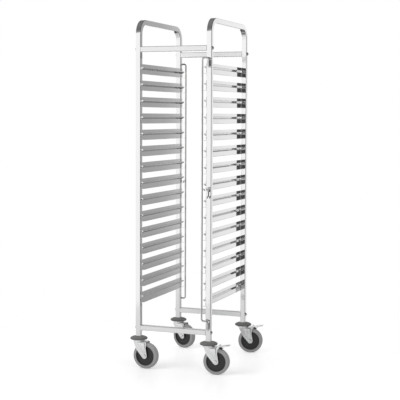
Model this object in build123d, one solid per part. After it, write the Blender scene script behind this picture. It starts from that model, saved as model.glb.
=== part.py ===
from build123d import *
import math
import os

# Gastronorm tray trolley, in millimetres.
# The origin is on the floor, midway between the four legs.
# X runs across the trolley, Y from the front to the rear, Z up.

# Tubular frame
overall_width = 384
overall_depth = 540
overall_height = 1673
tube_size = 25
tube_wall = 1.2
tube_corner_radius = 2.5
frame_bend_radius = 60

# Cross bars, end inserts and bolts
top_bar_drop = 143
bottom_bar_rise = 41.5
insert_length = 30
slip_gap = 0.1
bolt_diameter = 8
bolt_hole_clearance = 0.2
bolt_grip_in_insert = 22
bolt_head_diameter = 16
bolt_head_height = 4.5
bolt_dome_height = 3

# Tray rails
level_count = 15
top_level_drop = 235
bottom_level_rise = 149.5
rail_sheet = 1.2
rail_top_rise = 22.5
rail_foot_drop = 26
rail_end_inset = 4
rail_bend_radius = 2
ledge_top_rise = 8
ledge_foot_drop = 3.5
ledge_corner_depth = 17.6
lip_depth = 5.5

# Retaining rods
rod_diameter = 8
rod_bend_radius = 10
rod_arm = 31
rod_pivot_inset = 8
rod_pivot_standoff = 14.7
rod_top_drop = 189
rod_bottom_rise = 57.5
rod_pin_length = 45
running_clearance = 0.05
seat_gap = 0.3
stub_above_middle = 5
stub_diameter = 5
stub_reach = 13
stub_drop = 8
stub_bend_radius = 3.5

# Bushes that the rods hang in
bush_diameter = 14
bush_height = 28
bush_web_thickness = 5

# Gravity latches that hold the rods shut
catch_width = 13
catch_height = 22
catch_depth = 12
catch_sheet = 2
catch_below_stub = 12
latch_pivot_inset = 4.5
latch_pivot_below_stub = 5
latch_pin_diameter = 4
latch_pin_head = 8
latch_plate = 2.5
latch_eye_radius = 4.5
latch_neck_width = 5
latch_past_rod_axis = 2.5
latch_fork_width = 14
latch_fork_depth = 11
latch_slot_width = 6.5
latch_clear_of_rod = 0.5

# Castors
wheel_diameter = 125
tyre_width = 32
tyre_thickness = 15
tread_chamfer = 4
castor_trail = 38.5
axle_diameter = 10
axle_head_diameter = 17
axle_head_height = 3.5
hub_boss_radius = 13
hub_rim_width = 4
hub_web_width = 22
fork_sheet = 2.5
fork_inner_width = 39
fork_lobe_radius = 13
fork_crown_above_wheel = 3.5
fork_front_reach = 19
fork_waist_rise = 30
fork_waist_front = -4
fork_waist_rear = 7
fork_waist_slope = 8
fork_rear_reach = 10
hood_degrees = 5
race_radius = 25
race_height = 3.8
race_cover_sheet = 2.7
race_cover_top = 3.9
race_cover_gap = 0.8
kingpin_diameter = 12
kingpin_head_diameter = 20
kingpin_head_height = 4.7
bumper_diameter = 85
bumper_thickness = 16
bumper_edge = 5
plug_height = 33

# Castor brake pedals
pedal_pivot_x = 51
pedal_pivot_above_crown = 5
pedal_pin_diameter = 5
pedal_barrel_diameter = 9
pedal_lug_radius = 5.5
pedal_lug_depth = 6
pedal_width = 34
pedal_sheet = 2.5
pedal_tip_x = 104
pedal_tip_above_crown = 12.5
pedal_side_gap = 0.4
shoe_width = 22
shoe_root_x = 80
shoe_gap_at_rest = 3.8
shoe_degrees = 26

# Direction in which each castor trails, counted from +X, and the castors with a brake
heading_degrees = {"front_left": -2, "front_right": 6, "rear_left": -14, "rear_right": 12}
braked_castors = ("front_right", "rear_right")

# Places that follow from the sizes above
leg_x = overall_width / 2 - tube_size / 2
leg_y = overall_depth / 2 - tube_size / 2
inner_x = overall_width / 2 - tube_size
outer_x = overall_width / 2
front_y = overall_depth / 2
tube_inside = tube_size - 2 * tube_wall
plug_size = tube_inside - 2 * slip_gap
plug_corner_radius = tube_corner_radius - tube_wall + slip_gap
wheel_radius = wheel_diameter / 2
crown_z = wheel_diameter + fork_crown_above_wheel
crown_top_z = crown_z + fork_sheet
race_top_z = crown_top_z + race_height
bumper_z = race_top_z + seat_gap + race_cover_top
leg_foot_z = bumper_z + bumper_thickness
blade_y = fork_inner_width / 2
fork_half_width = blade_y + fork_sheet
pedal_pivot_z = crown_z + pedal_pivot_above_crown
pedal_tip_z = crown_z + pedal_tip_above_crown
bottom_bar_z = leg_foot_z + bottom_bar_rise
bar_heights = (bottom_bar_z, overall_height - top_bar_drop)
top_level_z = overall_height - top_level_drop
bottom_level_z = bottom_bar_z + bottom_level_rise
level_pitch = (top_level_z - bottom_level_z) / (level_count - 1)
rod_pivot_x = outer_x - rod_pivot_inset
rod_pivot_y = front_y + rod_pivot_standoff
rod_top_arm_z = overall_height - rod_top_drop
rod_bottom_arm_z = bottom_bar_z + rod_bottom_rise
stub_z = (rod_top_arm_z + rod_bottom_arm_z) / 2 + stub_above_middle
catch_bottom_z = stub_z - catch_below_stub
latch_pivot_z = stub_z - latch_pivot_below_stub
latch_length = rod_arm + rod_pivot_inset - latch_pivot_inset + latch_past_rod_axis
latch_back_y = rod_pivot_y + rod_diameter / 2 + latch_clear_of_rod


def save(node, *solids):
    """Write one sub-part, which may hold several separate solids."""
    shape = solids[0] if len(solids) == 1 else Compound(children=list(solids))
    shape.label = node
    export_step(shape, os.path.join("parts", node + ".step"))


def square_tube_face():
    """Cross-section of the frame tube: a square with round corners and an even wall."""
    outside = RectangleRounded(tube_size, tube_size, tube_corner_radius)
    inside = RectangleRounded(tube_inside, tube_inside, tube_corner_radius - tube_wall)
    return outside - inside


def rear_copy(shape):
    """The trolley's front right corner and rear left corner are the same, turned half a turn."""
    return Rot(0, 0, 180) * shape


# Side frames: one tube each, bent into an arch that stands on two legs
def side_frame(side):
    x = side * leg_x
    top_z = overall_height - tube_size / 2
    corners = [
        (x, -leg_y, leg_foot_z),
        (x, -leg_y, top_z),
        (x, leg_y, top_z),
        (x, leg_y, leg_foot_z),
    ]
    path = FilletPolyline(*corners, radius=frame_bend_radius)
    section = Plane(origin=corners[0], x_dir=(1, 0, 0), z_dir=(0, 0, 1)) * square_tube_face()
    frame = sweep(section, path=path)
    hole_radius = bolt_diameter / 2 + bolt_hole_clearance
    for y in (-leg_y, leg_y):
        for z in bar_heights:
            frame -= Pos(x, y, z) * Rot(0, 90, 0) * Cylinder(hole_radius, 2 * tube_size)
    return frame


# Cross bars: straight lengths of the same tube between the legs
def cross_bar(y, z):
    across = Plane(origin=(-inner_x, y, z), x_dir=(0, 1, 0), z_dir=(1, 0, 0))
    return extrude(across * square_tube_face(), 2 * inner_x)


# Inserts: bored blocks that fill the ends of the cross bars and take the bolts
def end_insert(side, y, z):
    bore_radius = bolt_diameter / 2 + slip_gap
    face = RectangleRounded(plug_size, plug_size, plug_corner_radius) - Circle(bore_radius)
    start = Plane(origin=(side * inner_x, y, z), x_dir=(0, 1, 0), z_dir=(-side, 0, 0))
    return extrude(start * face, insert_length)


# Bolts: dome heads on the legs' outer faces, shanks through the legs into the inserts
def frame_bolt(side, y, z):
    shank_radius = bolt_diameter / 2
    head_radius = bolt_head_diameter / 2
    rim_height = bolt_head_height - bolt_dome_height
    dome_radius = (head_radius**2 + bolt_dome_height**2) / (2 * bolt_dome_height)
    dome_centre = bolt_head_height - dome_radius
    dome_angle = math.degrees(math.asin(head_radius / dome_radius))
    dome = CenterArc((0, dome_centre), dome_radius, 90 - dome_angle, dome_angle)
    shank_end = -(tube_size + bolt_grip_in_insert)
    outline = Polyline(
        (0, bolt_head_height),
        (0, shank_end),
        (shank_radius, shank_end),
        (shank_radius, 0),
        (head_radius, 0),
        (head_radius, rim_height),
    )
    bolt = revolve(Plane.XZ * make_face([*dome.edges(), *outline.edges()]), Axis.Z)
    return Plane(origin=(side * outer_x, y, z), z_dir=(side, 0, 0)) * bolt


# Tray rails: one folded sheet each, with a ledge that carries a tray's rim
def rail(side, z):
    """The folded line is the sheet's leg side, from the top edge down to the lip."""
    under_ledge = ledge_top_rise - rail_sheet
    fold = FilletPolyline(
        (0, rail_top_rise),
        (0, under_ledge),
        (ledge_corner_depth, under_ledge),
        (0, -ledge_foot_drop),
        (0, -rail_foot_drop),
        (lip_depth, -rail_foot_drop),
        radius=rail_bend_radius,
    )
    sheet = make_face(fold.wires()[0].offset_2d(rail_sheet, side=Side.LEFT, closed=True))
    length = overall_depth - 2 * rail_end_inset
    end = Plane(origin=(-inner_x, length / 2, z), x_dir=(1, 0, 0), z_dir=(0, -1, 0))
    left = extrude(end * sheet, length)
    return left if side < 0 else mirror(left, Plane.YZ)


# Retaining rod at the front right: a bent wire that hangs by two pins
def retaining_rod():
    top = rod_top_arm_z
    bottom = rod_bottom_arm_z
    straight_x = rod_pivot_x - rod_arm
    points = [
        (rod_pivot_x, -rod_pivot_y, top - rod_pin_length),
        (rod_pivot_x, -rod_pivot_y, top),
        (straight_x, -rod_pivot_y, top),
        (straight_x, -rod_pivot_y, bottom),
        (rod_pivot_x, -rod_pivot_y, bottom),
        (rod_pivot_x, -rod_pivot_y, bottom - rod_pin_length),
    ]
    wire = sweep(
        Plane(origin=points[0], z_dir=(0, 0, 1)) * Circle(rod_diameter / 2),
        path=FilletPolyline(*points, radius=rod_bend_radius),
    )
    hook_path = FilletPolyline(
        (straight_x, -rod_pivot_y, stub_z),
        (straight_x + stub_reach, -rod_pivot_y, stub_z),
        (straight_x + stub_reach, -rod_pivot_y, stub_z - stub_drop),
        radius=stub_bend_radius,
    )
    hook_start = Plane(origin=(straight_x, -rod_pivot_y, stub_z), z_dir=(1, 0, 0))
    hook = sweep(hook_start * Circle(stub_diameter / 2), path=hook_path)
    return wire + hook


# Rod bushes at the front right: short tubes on webs welded to the leg's front face
def rod_bush(arm_z):
    top_z = arm_z - rod_bend_radius - seat_gap
    centre = Pos(rod_pivot_x, -rod_pivot_y, top_z - bush_height / 2)
    bore_radius = rod_diameter / 2 + running_clearance
    web = Pos(0, rod_pivot_standoff / 2, 0) * Box(bush_web_thickness, rod_pivot_standoff, bush_height)
    tube = Cylinder(bush_diameter / 2, bush_height)
    bore = Cylinder(bore_radius, 2 * bush_height)
    return centre * (tube + web - bore)


# Catch at the front right: a folded bracket with the latch's pivot pin
def latch_catch():
    left_x = outer_x - catch_width
    base = Pos(left_x, -front_y - catch_depth, catch_bottom_z)
    corner = (Align.MIN, Align.MIN, Align.MIN)
    block = Box(catch_width, catch_depth, catch_height, align=corner)
    hollow_width = catch_width - 2 * catch_sheet
    hollow = Pos(catch_sheet, catch_sheet, 0) * Box(hollow_width, catch_depth, catch_height, align=corner)
    pin_start = front_y + catch_depth - catch_sheet
    pin_end = latch_back_y + latch_plate + seat_gap
    pin_plane = Plane(
        origin=(outer_x - latch_pivot_inset, -pin_start, latch_pivot_z),
        z_dir=(0, -1, 0),
    )
    pin = extrude(pin_plane * Circle(latch_pin_diameter / 2), pin_end - pin_start)
    head_plane = pin_plane.offset(pin_end - pin_start)
    head = extrude(head_plane * Circle(latch_pin_head / 2), catch_sheet)
    return base * (block - hollow) + pin + head


# Latch at the front right: a forked plate that hangs from the catch's pin
def latch():
    eye = Circle(latch_eye_radius)
    neck_length = latch_length - latch_fork_depth
    neck = Pos(0, -neck_length / 2) * Rectangle(latch_neck_width, neck_length)
    tines = Pos(0, latch_fork_depth / 2 - latch_length) * RectangleRounded(
        latch_fork_width, latch_fork_depth, latch_neck_width / 2
    )
    slot_depth = latch_fork_depth - latch_neck_width / 2
    slot = Pos(0, -latch_length) * SlotOverall(2 * slot_depth, latch_slot_width, rotation=90)
    pin_hole = Circle(latch_pin_diameter / 2 + running_clearance)
    back = Plane(
        origin=(outer_x - latch_pivot_inset, -latch_back_y, latch_pivot_z),
        x_dir=(1, 0, 0),
        z_dir=(0, -1, 0),
    )
    return extrude(back * (eye + neck + tines - slot - pin_hole), latch_plate)


# Castor pieces are drawn with the swivel axis on Z and the wheel trailing towards +X
def bumper():
    """A soft disc with a round edge, clamped between the leg and the castor."""
    disc = Cylinder(bumper_diameter / 2, bumper_thickness)
    disc = fillet(disc.edges().filter_by(GeomType.CIRCLE), bumper_edge)
    hole = Cylinder(kingpin_diameter / 2 + slip_gap, bumper_thickness)
    return Pos(0, 0, bumper_z + bumper_thickness / 2) * (disc - hole)


def castor_stem():
    """Square plug in the leg, race cover under the bumper, and kingpin with its head."""
    plug_face = RectangleRounded(plug_size, plug_size, plug_corner_radius)
    plug = extrude(Plane.XY.offset(leg_foot_z) * plug_face, plug_height)
    pin_radius = kingpin_diameter / 2
    head_radius = kingpin_head_diameter / 2
    head_top = crown_z - seat_gap
    head_bottom = head_top - kingpin_head_height
    cover_inside = race_radius + race_cover_gap
    cover_outside = cover_inside + race_cover_sheet
    ceiling = race_top_z + seat_gap
    skirt_bottom = crown_top_z + 2 * seat_gap
    profile = Plane.XZ * make_face(
        Polyline(
            (0, leg_foot_z),
            (0, head_bottom),
            (head_radius, head_bottom),
            (head_radius, head_top),
            (pin_radius, head_top),
            (pin_radius, ceiling),
            (cover_inside, ceiling),
            (cover_inside, skirt_bottom),
            (cover_outside, skirt_bottom),
            (cover_outside, bumper_z),
            (pin_radius, bumper_z),
            (pin_radius, leg_foot_z),
            close=True,
        )
    )
    return plug + revolve(profile, Axis.Z)


def fork_blade_face(braked):
    """Outline of one side plate: a blade that tapers to a round lobe at the axle."""
    axle = Pos(castor_trail, wheel_radius)
    waist_z = wheel_radius + fork_waist_rise
    waist_front = (fork_waist_front, waist_z)
    waist_rear = (castor_trail + fork_waist_rear, waist_z + fork_waist_slope)
    lobe = axle * Circle(fork_lobe_radius)
    lower = make_hull([*lobe.edges(), Line(waist_front, waist_rear)])
    top_front = (-fork_front_reach, crown_z)
    top_rear = (castor_trail + fork_rear_reach, crown_z)
    upper = make_face(Polyline(waist_front, top_front, top_rear, waist_rear, close=True))
    face = lower + upper - axle * Circle(axle_diameter / 2 + running_clearance)
    if not braked:
        return face
    pivot = Pos(pedal_pivot_x, pedal_pivot_z)
    lug_root = Line(
        (castor_trail, crown_z - pedal_lug_depth),
        (castor_trail + fork_rear_reach, crown_z - pedal_lug_depth),
    )
    lug = make_hull([*(pivot * Circle(pedal_lug_radius)).edges(), *lug_root.edges()])
    return face + lug - pivot * Circle(pedal_pin_diameter / 2 + running_clearance)


def fork_hood():
    """Rear edge of the crown, which follows the wheel round over the tyre."""
    centre = (castor_trail, wheel_radius)
    inner = crown_z - wheel_radius
    outer = inner + fork_sheet
    end_angle = 90 - hood_degrees
    outline = [
        Line((castor_trail, crown_z), (castor_trail, crown_top_z)),
        CenterArc(centre, outer, 90, -hood_degrees),
        Line(PolarLine(centre, inner, end_angle) @ 1, PolarLine(centre, outer, end_angle) @ 1),
        CenterArc(centre, inner, 90, -hood_degrees),
    ]
    return extrude(Plane.XZ * make_face(outline), fork_half_width, both=True)


def castor_fork(braked):
    """Crown with its race, a hood over the wheel, and the two side plates."""
    crown_length = fork_front_reach + castor_trail
    crown_middle = (castor_trail - fork_front_reach) / 2
    crown = Box(crown_length, 2 * fork_half_width, fork_sheet)
    crown = fillet(crown.edges().filter_by(Axis.Z).group_by(Axis.X)[0], fork_lobe_radius)
    crown = Pos(crown_middle, 0, crown_z + fork_sheet / 2) * crown
    on_crown = Plane.XY.offset(crown_z)
    race = extrude(on_crown * Circle(race_radius), fork_sheet + race_height)
    hood = fork_hood()
    blades = []
    for outer_y in (-blade_y, fork_half_width):
        side = Plane(origin=(0, outer_y, 0), x_dir=(1, 0, 0), z_dir=(0, -1, 0))
        blades.append(extrude(side * fork_blade_face(braked), fork_sheet))
    bore = extrude(on_crown * Circle(kingpin_diameter / 2 + running_clearance), fork_sheet + race_height)
    return crown + race + hood + blades - bore


def about_axle(profile):
    """Turn a profile drawn as (radius, width) into a round piece on the wheel's axle."""
    turned = revolve(Plane.XZ * profile, Axis.Z)
    return Pos(castor_trail, 0, wheel_radius) * Rot(90, 0, 0) * turned


def wheel_tyre():
    inner = wheel_radius - tyre_thickness
    half = tyre_width / 2
    return about_axle(
        make_face(
            Polyline(
                (inner, -half),
                (wheel_radius - tread_chamfer, -half),
                (wheel_radius, tread_chamfer - half),
                (wheel_radius, half - tread_chamfer),
                (wheel_radius - tread_chamfer, half),
                (inner, half),
                close=True,
            )
        )
    )


def wheel_hub():
    bore = axle_diameter / 2 + running_clearance
    boss_half = fork_inner_width / 2 - seat_gap
    rim = wheel_radius - tyre_thickness
    rim_inside = rim - hub_rim_width
    half = tyre_width / 2
    web_half = hub_web_width / 2
    right_side = [
        (bore, boss_half),
        (hub_boss_radius, boss_half),
        (hub_boss_radius, web_half),
        (rim_inside, web_half),
        (rim_inside, half),
        (rim, half),
    ]
    left_side = [(radius, -width) for radius, width in reversed(right_side)]
    return about_axle(make_face(Polyline(*right_side, *left_side, close=True)))


def castor_axle():
    pin_radius = axle_diameter / 2
    head_radius = axle_head_diameter / 2
    bevel = axle_head_height / 3
    end = fork_half_width + axle_head_height
    right_side = [
        (pin_radius, fork_half_width),
        (head_radius, fork_half_width),
        (head_radius, end - bevel),
        (head_radius - bevel, end),
        (0, end),
    ]
    left_side = [(radius, -width) for radius, width in reversed(right_side)]
    return about_axle(make_face(Polyline(*right_side, *left_side, close=True)))


def brake_pedal():
    """Foot plate and brake shoe on one barrel, which turns on a pin between the side plates."""
    pivot = (pedal_pivot_x, pedal_pivot_z)
    barrel_half = blade_y - pedal_side_gap
    barrel = extrude(Plane.XZ * (Pos(*pivot) * Circle(pedal_barrel_diameter / 2)), barrel_half, both=True)
    pin = extrude(Plane.XZ * (Pos(*pivot) * Circle(pedal_pin_diameter / 2)), fork_half_width, both=True)
    plate_line = Line(pivot, (pedal_tip_x, pedal_tip_z))
    plate = extrude(Plane.XZ * trace(plate_line, pedal_sheet), pedal_width / 2, both=True)
    shoe_radius = wheel_radius + shoe_gap_at_rest + pedal_sheet / 2
    shoe_tip = PolarLine((castor_trail, wheel_radius), shoe_radius, 90 - shoe_degrees) @ 1
    shoe_root = plate_line @ ((shoe_root_x - pedal_pivot_x) / (pedal_tip_x - pedal_pivot_x))
    shoe = extrude(Plane.XZ * trace(Line(shoe_root, shoe_tip), pedal_sheet), shoe_width / 2, both=True)
    return barrel + pin + plate + shoe


os.makedirs("parts", exist_ok=True)

for name, side in (("left", -1), ("right", 1)):
    save("side_frame_" + name, side_frame(side))

for place, y in (("front", -leg_y), ("rear", leg_y)):
    save("cross_bar_bottom_" + place, cross_bar(y, bar_heights[0]))
    save("cross_bar_top_" + place, cross_bar(y, bar_heights[1]))

bar_ends = [(side, y, z) for side in (-1, 1) for y in (-leg_y, leg_y) for z in bar_heights]
save("bar_end_inserts", *[end_insert(*end) for end in bar_ends])
save("frame_bolts", *[frame_bolt(*end) for end in bar_ends])

for level in range(level_count):
    z = top_level_z - level * level_pitch
    save("tray_rails_%02d" % (level + 1), rail(-1, z), rail(1, z))

bushes = [rod_bush(rod_bottom_arm_z), rod_bush(rod_top_arm_z)]
save("rod_bushes_front", *bushes)
save("rod_bushes_rear", *[rear_copy(bush) for bush in bushes])
for node, shape in (
    ("retaining_rod", retaining_rod()),
    ("latch_catch", latch_catch()),
    ("latch_fork", latch()),
):
    save(node + "_front", shape)
    save(node + "_rear", rear_copy(shape))

for place, heading in heading_degrees.items():
    braked = place in braked_castors
    seat = Pos(leg_x if "right" in place else -leg_x, leg_y if "rear" in place else -leg_y, 0)
    turned = seat * Rot(0, 0, heading)
    save("castor_stem_" + place, seat * castor_stem())
    save("castor_bumper_" + place, seat * bumper())
    save("castor_fork_" + place, turned * castor_fork(braked))
    save("castor_axle_" + place, turned * castor_axle())
    save("wheel_hub_" + place, turned * wheel_hub())
    save("wheel_tyre_" + place, turned * wheel_tyre())
    if braked:
        save("brake_pedal_" + place, turned * brake_pedal())
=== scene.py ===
# %% [markdown]
# # A gastronorm tray trolley in satin stainless steel
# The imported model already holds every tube, rail, rod and castor at its real size.
# This lesson dresses it: finishes that behave like brushed steel, zinc plate, rubber
# and moulded plastic, small fasteners and welds made with Geometry Nodes, and a white
# studio that lights it the way a product photograph does.

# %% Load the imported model
import math

import bmesh
import bpy
from mathutils import Matrix, Vector


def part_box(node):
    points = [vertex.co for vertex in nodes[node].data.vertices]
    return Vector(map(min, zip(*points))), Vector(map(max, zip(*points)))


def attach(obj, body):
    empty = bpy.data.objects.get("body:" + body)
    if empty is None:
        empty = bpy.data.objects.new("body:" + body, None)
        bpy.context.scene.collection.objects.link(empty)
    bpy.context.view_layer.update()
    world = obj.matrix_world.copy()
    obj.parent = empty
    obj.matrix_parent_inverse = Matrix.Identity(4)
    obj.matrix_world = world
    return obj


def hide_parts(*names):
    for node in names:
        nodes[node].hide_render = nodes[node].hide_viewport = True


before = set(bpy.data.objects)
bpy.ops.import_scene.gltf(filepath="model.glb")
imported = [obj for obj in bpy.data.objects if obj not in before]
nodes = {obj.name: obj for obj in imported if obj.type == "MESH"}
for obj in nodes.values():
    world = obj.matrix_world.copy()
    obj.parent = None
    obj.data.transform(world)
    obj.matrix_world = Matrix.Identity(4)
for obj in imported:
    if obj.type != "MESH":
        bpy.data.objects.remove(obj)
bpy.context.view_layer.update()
scene = bpy.context.scene

# %% [markdown]
# ## The camera
# The photograph was taken from about five metres away with a long lens, a little to
# the right of the trolley's front. A long lens keeps the near and far legs almost the
# same size. The camera stands at chest height and looks slightly down. The vertical
# shift only frames the tall object, and is small so that other views of the same scene
# still hold the whole trolley.

# %% Camera
CAMERA_PLACE = (1.916, -4.992, 1.211)
CAMERA_YAW = math.radians(20.641)
CAMERA_PITCH = math.radians(-3.45)
CAMERA_ROLL = math.radians(0.221)
CAMERA_LENS_MM = 97.32
CAMERA_SHIFT = -0.045

camera_data = bpy.data.cameras.new("camera")
camera_data.lens = CAMERA_LENS_MM
camera_data.sensor_width = 36
camera_data.shift_y = CAMERA_SHIFT
camera = bpy.data.objects.new("camera", camera_data)
scene.collection.objects.link(camera)
level_turn = Matrix.Rotation(CAMERA_YAW, 3, "Z") @ Matrix.Rotation(math.pi / 2 + CAMERA_PITCH, 3, "X")
camera.rotation_euler = (level_turn @ Matrix.Rotation(CAMERA_ROLL, 3, "Z")).to_euler()
camera.location = CAMERA_PLACE
scene.camera = camera
print("camera at", tuple(camera.location), "lens", CAMERA_LENS_MM)

# %% [markdown]
# ## A white studio
# Polished steel has hardly any tone of its own: it shows the room. So the room is
# described by what a reflection meets in each compass direction. To the left and
# behind it is a white sweep. To the right it is unlit and grey, which gives the inner
# side of the left rails their mid grey and the wires their dark half. Right behind the
# camera it is nearly black. Two mirrors that meet at a right angle always send the
# view back to the camera, so this black is what shows where each right rail meets the
# rear leg. The ceiling is unlit too, and so is the floor far behind the trolley, and
# the folded ledges of the rails mirror them as dark lines. The camera itself sees plain
# white, and diffuse light comes from a weaker level, so that the lamps can draw soft
# shadows.

# %% World
WORLD_DIFFUSE_LEVEL = 0.62
REAR_STARTS_AT = 0.1
REAR_FULL_AT = 0.5
CEILING_LEVELS = [(0.2, 1.0), (0.34, 0.3), (0.6, 0.15), (1.0, 0.2)]
FRONT_HEIGHTS = [(-1.0, 0.85), *CEILING_LEVELS]
REAR_HEIGHTS = [(-1.0, 0.1), (-0.3, 0.1), (-0.2, 0.8), (-0.12, 1.0), *CEILING_LEVELS]
ROOM_LEVELS = [
    (-180, 1.0),
    (15, 1.0),
    (16.2, 0.05),
    (25, 0.05),
    (29, 0.2),
    (60, 0.12),
    (105, 0.14),
    (125, 0.3),
    (152, 0.33),
    (158.2, 0.42),
    (159.6, 0.93),
    (180, 1.0),
]


def add_node(tree, kind, place, **settings):
    node = tree.nodes.new(kind)
    node.location = place
    for name, value in settings.items():
        setattr(node, name, value)
    return node


def worked_out(tree, operation, place, *values):
    """A Math node whose inputs are numbers or other nodes' outputs."""
    node = add_node(tree, "ShaderNodeMath", place, operation=operation)
    for socket, value in zip(node.inputs, values):
        if isinstance(value, (int, float)):
            socket.default_value = value
        else:
            tree.links.new(value, socket)
    return node.outputs[0]


def smooth_step(tree, source, start, end, low, high, place):
    """A value that goes smoothly from low at start to high at end."""
    node = add_node(tree, "ShaderNodeMapRange", place, interpolation_type="SMOOTHSTEP")
    for label, value in zip(("From Min", "From Max", "To Min", "To Max"), (start, end, low, high)):
        node.inputs[label].default_value = value
    tree.links.new(source, node.inputs["Value"])
    return node.outputs["Result"]


def as_stops(levels, full_span):
    """Levels placed along a ramp whose middle stands for zero."""
    return [(value / full_span + 0.5, level) for value, level in levels]


def level_ramp(tree, source, levels, place):
    """Grey levels along a value from 0 to 1, joined by straight runs."""
    ramp = add_node(tree, "ShaderNodeValToRGB", place)
    stops = ramp.color_ramp.elements
    while len(stops) < len(levels):
        stops.new(1.0)
    for stop, (position, level) in zip(stops, levels):
        stop.position = position
        stop.color = (level, level, level, 1)
    tree.links.new(source, ramp.inputs["Fac"])
    return ramp.outputs["Color"]


world = bpy.data.worlds.new("white studio")
world.use_nodes = True
scene.world = world
sky = world.node_tree
sky.nodes.clear()
direction = add_node(sky, "ShaderNodeTexCoord", (-1500, -200))
compass = add_node(sky, "ShaderNodeSeparateXYZ", (-1300, -200))
sky.links.new(direction.outputs["Generated"], compass.inputs[0])
forward = worked_out(sky, "MULTIPLY", (-1100, -300), compass.outputs["Y"], -1.0)
bearing = worked_out(sky, "ARCTAN2", (-900, -200), compass.outputs["X"], forward)
share = worked_out(sky, "MULTIPLY_ADD", (-700, -200), bearing, 0.5 / math.pi, 0.5)
walls = level_ramp(sky, share, as_stops(ROOM_LEVELS, 360), (-500, -200))
rise = worked_out(sky, "MULTIPLY_ADD", (-700, -500), compass.outputs["Z"], 0.5, 0.5)
at_front = level_ramp(sky, rise, as_stops(FRONT_HEIGHTS, 2), (-500, -500))
at_rear = level_ramp(sky, rise, as_stops(REAR_HEIGHTS, 2), (-500, -800))
behind = smooth_step(sky, compass.outputs["Y"], REAR_STARTS_AT, REAR_FULL_AT, 0.0, 1.0, (-500, -1100))
heights = add_node(sky, "ShaderNodeMix", (-250, -600), data_type="FLOAT")
for index, source in ((0, behind), (2, at_front), (3, at_rear)):
    sky.links.new(source, heights.inputs[index])
room = worked_out(sky, "MULTIPLY", (-200, -300), walls, heights.outputs[0])
rays = add_node(sky, "ShaderNodeLightPath", (-900, 300))
sees = worked_out(sky, "MAXIMUM", (-650, 300), rays.outputs["Is Camera Ray"], rays.outputs["Is Glossy Ray"])
sees_all = worked_out(sky, "MAXIMUM", (-450, 300), sees, rays.outputs["Is Transmission Ray"])
seen_level = worked_out(sky, "MAXIMUM", (0, -200), rays.outputs["Is Camera Ray"], room)
soft_light = add_node(sky, "ShaderNodeBackground", (200, 150))
soft_light.inputs["Color"].default_value = (1, 1, 1, 1)
soft_light.inputs["Strength"].default_value = WORLD_DIFFUSE_LEVEL
seen_room = add_node(sky, "ShaderNodeBackground", (200, -50))
seen_room.inputs["Color"].default_value = (1, 1, 1, 1)
sky.links.new(seen_level, seen_room.inputs["Strength"])
choose = add_node(sky, "ShaderNodeMixShader", (450, 100))
sky.links.new(sees_all, choose.inputs["Fac"])
sky.links.new(soft_light.outputs[0], choose.inputs[1])
sky.links.new(seen_room.outputs[0], choose.inputs[2])
sky_out = add_node(sky, "ShaderNodeOutputWorld", (650, 100))
sky.links.new(choose.outputs[0], sky_out.inputs["Surface"])
print("room levels at", [degrees for degrees, level in ROOM_LEVELS])

# %% [markdown]
# ## Lamps
# Two large soft boxes: one above and to the front left, one weaker from the front
# right. Their size keeps every shadow soft, and their power stays low enough that a
# mid grey still renders as a mid grey.

# %% Lamps
LAMPS = {
    "key": ((-2.2, -2.8, 3.4), 2.6, 62.0),
    "fill": ((2.6, -2.2, 2.2), 2.0, 16.0),
}
LAMP_TARGET = Vector((0, 0, 0.7))
for lamp_name, (place, side_length, power) in LAMPS.items():
    lamp_data = bpy.data.lights.new(lamp_name, "AREA")
    lamp_data.shape = "SQUARE"
    lamp_data.size = side_length
    lamp_data.energy = power
    lamp = bpy.data.objects.new(lamp_name, lamp_data)
    lamp.location = place
    lamp.rotation_euler = (LAMP_TARGET - lamp.location).to_track_quat("-Z", "Y").to_euler()
    scene.collection.objects.link(lamp)
    lamp.visible_glossy = False
print(len(LAMPS), "soft boxes")

# %% [markdown]
# ## The floor
# A pale disc that fades out at its rim. In the photograph the floor is so bright that
# it joins the background, and only soft grey patches under the wheels show that it is
# there. The floor's own colour does most of that, and a slight sheen mirrors the wheels
# as blurred patches. A little glow for camera rays only lifts it to white and leaves
# the shadows. The disc is small, because the rails would otherwise mirror a white
# floor where the real studio was unlit.

# %% Floor
FLOOR_RADIUS = 2.6
FLOOR_CENTRE = (-0.1, -0.7, 0)
FLOOR_SOLID_TO = 1.25
FLOOR_GONE_AT = 1.6
FLOOR_COLOUR = (0.86, 0.86, 0.86, 1)
FLOOR_GLOW_FROM = 0.3
FLOOR_GLOW = (0.4, 0.56)
FLOOR_SHEEN = 0.14
FLOOR_SHEEN_ROUGHNESS = 0.3

floor_mesh = bpy.data.meshes.new("floor")
floor_form = bmesh.new()
bmesh.ops.create_circle(floor_form, cap_ends=True, radius=FLOOR_RADIUS, segments=96)
floor_form.to_mesh(floor_mesh)
floor_form.free()
floor = bpy.data.objects.new("floor", floor_mesh)
scene.collection.objects.link(floor)
floor_material = bpy.data.materials.new("pale floor")
floor_material.use_nodes = True
paint = floor_material.node_tree
paint.nodes.clear()
where = add_node(paint, "ShaderNodeTexCoord", (-1000, -200))
reach = add_node(paint, "ShaderNodeVectorMath", (-800, -200), operation="DISTANCE")
reach.inputs[1].default_value = FLOOR_CENTRE
paint.links.new(where.outputs["Object"], reach.inputs[0])
distance = reach.outputs["Value"]
there = smooth_step(paint, distance, FLOOR_SOLID_TO, FLOOR_GONE_AT, 1.0, 0.0, (-550, -350))
lift = smooth_step(paint, distance, FLOOR_GLOW_FROM, FLOOR_SOLID_TO, *FLOOR_GLOW, (-550, -100))
floor_rays = add_node(paint, "ShaderNodeLightPath", (-550, 250))
matt = add_node(paint, "ShaderNodeBsdfDiffuse", (-100, 150))
matt.inputs["Color"].default_value = FLOOR_COLOUR
glow = add_node(paint, "ShaderNodeEmission", (-100, 0))
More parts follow.
